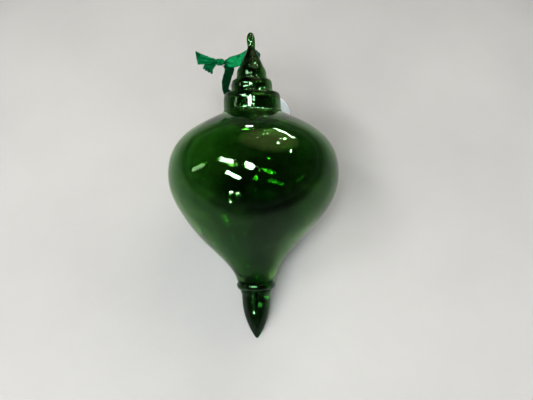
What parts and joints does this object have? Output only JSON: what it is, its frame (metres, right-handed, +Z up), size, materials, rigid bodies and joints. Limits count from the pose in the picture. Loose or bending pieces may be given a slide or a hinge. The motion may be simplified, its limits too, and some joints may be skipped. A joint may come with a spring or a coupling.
{
  "type": "glass finial ornament",
  "caption": "Hollow green glass finial ornament: an onion-shaped bulb between a pointed drop and a stepped crown with a hook, on a satin ribbon loop with a blank card tag.",
  "frame": {"origin": "under the middle of the ornament without its ribbon and tag, on the surface it lies on", "axes": "+Z up, +Y along the ground from the pointed drop towards the crown and hook, +X to the right seen from the point"},
  "size_m": [0.1338, 0.215, 0.1286],
  "materials": {
    "green_glass": "polished",
    "dark_green_glass": "polished",
    "green_satin": "satin",
    "white_card": "matte"
  },
  "bodies": {
    "glass": {"point_drop": "dark_green_glass", "collar_ring": "dark_green_glass", "blown_bulb": "green_glass", "crown_tier_lower": "green_glass", "crown_tier_middle": "green_glass", "crown_tier_upper": "green_glass", "hanging_hook": "green_glass"},
    "ribbon": {"ribbon_loop": "green_satin", "ribbon_knot": "green_satin", "ribbon_tail_upper": "green_satin", "ribbon_tail_lower": "green_satin"},
    "tag": {"hang_tag": "white_card"}
  },
  "joints": [
    {"name": "ribbon_swing", "type": "hinge", "parent": "glass", "child": "ribbon", "pos_m": [0.001, 0.09418, 0.1009], "axis": [0, -0.874, -0.486], "range_deg": [-8, 45]},
    {"name": "tag_swing", "type": "hinge", "parent": "ribbon", "child": "tag", "pos_m": [0.016, 0.08903, 0.05102], "axis": [1, 0, 0], "range_deg": [-20, 15]}
  ]
}
